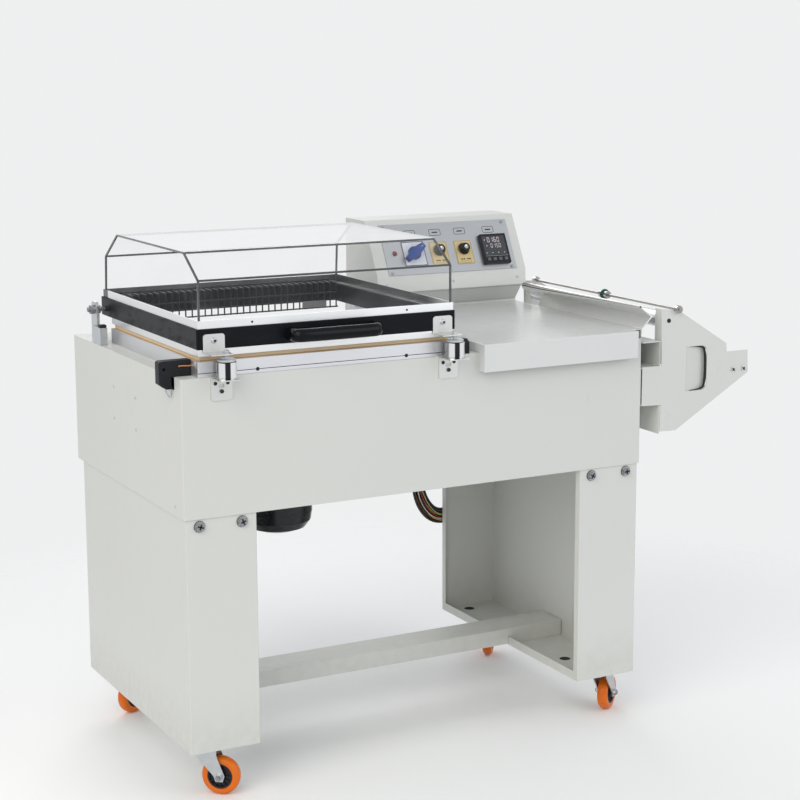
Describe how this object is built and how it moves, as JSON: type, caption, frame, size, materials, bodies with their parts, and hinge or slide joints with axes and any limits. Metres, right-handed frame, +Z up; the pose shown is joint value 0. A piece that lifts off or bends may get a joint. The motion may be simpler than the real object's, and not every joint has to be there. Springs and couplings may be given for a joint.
{
  "type": "shrink wrapping machine",
  "caption": "Chamber shrink wrapper on casters: hinged clear hood over an L-seal frame and hot air chamber, worktable, film stand and sloping control box.",
  "frame": {"origin": "on the floor, under the middle of the machine's outer box", "axes": "+X from the chamber side to the film side, +Y from front to back, +Z up"},
  "size_m": [1.303, 0.657, 1.032],
  "materials": {
    "ivory_paint": "ivory powder coat with a fine grain",
    "chamber_grey": "dark heat-resistant coating",
    "black_frame": "satin black coating",
    "black_wire": "black coated wire",
    "bar_aluminium": "brushed, clear anodised",
    "zinc_steel": "bright zinc plate",
    "chrome_steel": "polished chrome",
    "guide_steel": "polished stainless sheet",
    "heater_steel": "heat-tinted stainless tube",
    "fan_steel": "pressed steel",
    "release_tape": "tan glass-cloth release tape",
    "seal_rubber": "tan silicone strip",
    "black_plastic": "moulded black",
    "handle_plastic": "glossy black nylon",
    "clear_hood": "clear acrylic sheet",
    "roller_rubber": "black rubber sleeve",
    "pin_green": "dark green",
    "panel_grey": "matt anodised panel",
    "dial_gold": "gold anodised dial plates",
    "switch_blue": "blue moulded plastic",
    "lamp_red": "red lens",
    "key_grey": "grey keys",
    "wheel_orange": "orange polyurethane tread",
    "wire_black": "black sleeved wires"
  },
  "bodies": {
    "root": {"left_leg": "ivory_paint", "right_leg": "ivory_paint", "cross_bar": "ivory_paint", "cabinet_shell": "ivory_paint", "bottom_pan": "ivory_paint", "worktable": "ivory_paint", "stand_plates": "ivory_paint", "stand_cross_members": "ivory_paint", "control_box": "ivory_paint", "chamber_tub": "chamber_grey", "fan_motor": "black_frame", "product_tray": "black_wire", "seal_bars": "bar_aluminium", "screws": "zinc_steel", "magnet_shelves": "zinc_steel", "caster_plates": "zinc_steel", "hinge_posts": "zinc_steel", "magnets": "chrome_steel", "punch_rod": "chrome_steel", "film_guide": "guide_steel", "heater_tubes": "heater_steel", "seal_tapes": "release_tape", "terminal_blocks": "black_plastic", "temperature_controller": "black_plastic", "loom_glands": "black_plastic", "panel_plate": "panel_grey", "dial_plates": "dial_gold", "power_lamp": "lamp_red", "wire_loom": "wire_black"},
    "lid": {"lid_frame": "black_frame", "lid_angle": "bar_aluminium", "hood": "clear_hood", "lid_rail": "bar_aluminium", "lid_seal": "seal_rubber", "lid_handle": "handle_plastic", "rear_guard": "black_wire", "lid_brackets": "zinc_steel", "armature_discs": "zinc_steel", "hinge_pins": "chrome_steel"},
    "fan": {"fan_wheel": "fan_steel", "fan_shaft": "fan_steel"},
    "guide_roller_body": {"guide_roller": "roller_rubber"},
    "film_roller_outer_body": {"film_roller_outer": "roller_rubber"},
    "film_roller_inner_body": {"film_roller_inner": "roller_rubber"},
    "pin_wheel_body": {"pin_wheel": "pin_green"},
    "switch_knob_body": {"switch_knob": "switch_blue"},
    "timer_knob_left_body": {"timer_knob_left": "black_plastic"},
    "timer_knob_right_body": {"timer_knob_right": "black_plastic"},
    "key_set_body": {"key_set": "key_grey"},
    "key_shift_body": {"key_shift": "key_grey"},
    "key_down_body": {"key_down": "key_grey"},
    "key_up_body": {"key_up": "key_grey"},
    "front_left_fork": {"fork_front_left": "zinc_steel"},
    "front_left_wheel": {"wheel_front_left": "wheel_orange"},
    "front_right_fork": {"fork_front_right": "zinc_steel"},
    "front_right_wheel": {"wheel_front_right": "wheel_orange"},
    "rear_left_fork": {"fork_rear_left": "zinc_steel"},
    "rear_left_wheel": {"wheel_rear_left": "wheel_orange"},
    "rear_right_fork": {"fork_rear_right": "zinc_steel"},
    "rear_right_wheel": {"wheel_rear_right": "wheel_orange"}
  },
  "joints": [
    {"name": "lid_hinge", "type": "hinge", "parent": "root", "child": "lid", "pos_m": [0, 0.2215, 0.876], "axis": [-1, 0, 0], "range_deg": [0, 60]},
    {"name": "fan_spin", "type": "hinge", "parent": "root", "child": "fan", "pos_m": [-0.3165, -0.0015, 0.62], "axis": [0, 0, 1], "continuous": true},
    {"name": "guide_roller_spin", "type": "hinge", "parent": "root", "child": "guide_roller_body", "pos_m": [0.4445, -0.0095, 0.842], "axis": [0, 1, 0], "continuous": true},
    {"name": "film_roller_outer_spin", "type": "hinge", "parent": "root", "child": "film_roller_outer_body", "pos_m": [0.5765, -0.0095, 0.73], "axis": [0, 1, 0], "continuous": true},
    {"name": "film_roller_inner_spin", "type": "hinge", "parent": "root", "child": "film_roller_inner_body", "pos_m": [0.4465, -0.0095, 0.64], "axis": [0, 1, 0], "continuous": true},
    {"name": "pin_wheel_spin", "type": "hinge", "parent": "root", "child": "pin_wheel_body", "pos_m": [0.4635, -0.0145, 0.865], "axis": [0, 1, 0], "continuous": true},
    {"name": "switch_knob_turn", "type": "hinge", "parent": "root", "child": "switch_knob_body", "pos_m": [0.1045, 0.19372, 0.95376], "axis": [0, -0.8867, 0.4623], "range_deg": [-45, 45]},
    {"name": "timer_knob_left_turn", "type": "hinge", "parent": "root", "child": "timer_knob_left_body", "pos_m": [0.1675, 0.19557, 0.95731], "axis": [0, -0.8867, 0.4623], "range_deg": [-140, 140]},
    {"name": "timer_knob_right_turn", "type": "hinge", "parent": "root", "child": "timer_knob_right_body", "pos_m": [0.2295, 0.19557, 0.95731], "axis": [0, -0.8867, 0.4623], "range_deg": [-140, 140]},
    {"name": "key_set_press", "type": "slide", "parent": "root", "child": "key_set_body", "axis": [0, 0.8867, -0.4623], "range_m": [0, 0.0006], "stiffness_N_per_m": 400, "springref_m": -0.0006},
    {"name": "key_shift_press", "type": "slide", "parent": "root", "child": "key_shift_body", "axis": [0, 0.8867, -0.4623], "range_m": [0, 0.0006], "stiffness_N_per_m": 400, "springref_m": -0.0006},
    {"name": "key_down_press", "type": "slide", "parent": "root", "child": "key_down_body", "axis": [0, 0.8867, -0.4623], "range_m": [0, 0.0006], "stiffness_N_per_m": 400, "springref_m": -0.0006},
    {"name": "key_up_press", "type": "slide", "parent": "root", "child": "key_up_body", "axis": [0, 0.8867, -0.4623], "range_m": [0, 0.0006], "stiffness_N_per_m": 400, "springref_m": -0.0006},
    {"name": "front_left_swivel", "type": "hinge", "parent": "root", "child": "front_left_fork", "pos_m": [-0.5685, -0.2265, 0.09], "axis": [0, 0, 1], "continuous": true},
    {"name": "front_left_roll", "type": "hinge", "parent": "front_left_fork", "child": "front_left_wheel", "pos_m": [-0.54705, -0.2445, 0.0375], "axis": [0.6428, 0.766, 0], "continuous": true},
    {"name": "front_right_swivel", "type": "hinge", "parent": "root", "child": "front_right_fork", "pos_m": [0.3315, -0.2265, 0.09], "axis": [0, 0, 1], "continuous": true},
    {"name": "front_right_roll", "type": "hinge", "parent": "front_right_fork", "child": "front_right_wheel", "pos_m": [0.35356, -0.20926, 0.0375], "axis": [-0.6157, 0.788, 0], "continuous": true},
    {"name": "rear_left_swivel", "type": "hinge", "parent": "root", "child": "rear_left_fork", "pos_m": [-0.5685, 0.2495, 0.09], "axis": [0, 0, 1], "continuous": true},
    {"name": "rear_left_roll", "type": "hinge", "parent": "rear_left_fork", "child": "rear_left_wheel", "pos_m": [-0.54312, 0.26133, 0.0375], "axis": [-0.4226, 0.9063, 0], "continuous": true},
    {"name": "rear_right_swivel", "type": "hinge", "parent": "root", "child": "rear_right_fork", "pos_m": [0.3315, 0.2495, 0.09], "axis": [0, 0, 1], "continuous": true},
    {"name": "rear_right_roll", "type": "hinge", "parent": "rear_right_fork", "child": "rear_right_wheel", "pos_m": [0.31465, 0.22714, 0.0375], "axis": [0.7986, -0.6018, 0], "continuous": true}
  ]
}
